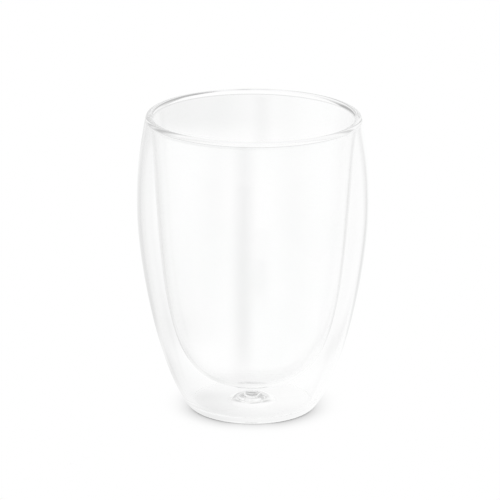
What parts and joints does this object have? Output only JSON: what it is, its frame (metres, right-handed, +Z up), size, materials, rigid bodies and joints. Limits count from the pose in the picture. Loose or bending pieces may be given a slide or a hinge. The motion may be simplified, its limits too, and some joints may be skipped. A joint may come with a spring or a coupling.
{
  "type": "double-walled glass tumbler",
  "caption": "Handle-less double-walled glass tumbler: a rounded inner cup fused at the lip to a bulging outer shell, with a sealed air gap and a plugged vent under its flat foot.",
  "frame": {"origin": "middle of the foot, on the surface that the tumbler stands on", "axes": "+Z up along the axis of the tumbler, from the foot to the lip"},
  "size_m": [0.0884, 0.0884, 0.115],
  "materials": {
    "clear_glass": "clear, fire-polished, smooth",
    "silicone": "milky, satin"
  },
  "bodies": {
    "root": {"outer_shell": "clear_glass", "inner_cup": "clear_glass", "fused_lip": "clear_glass", "vent_plug": "silicone"}
  },
  "joints": []
}
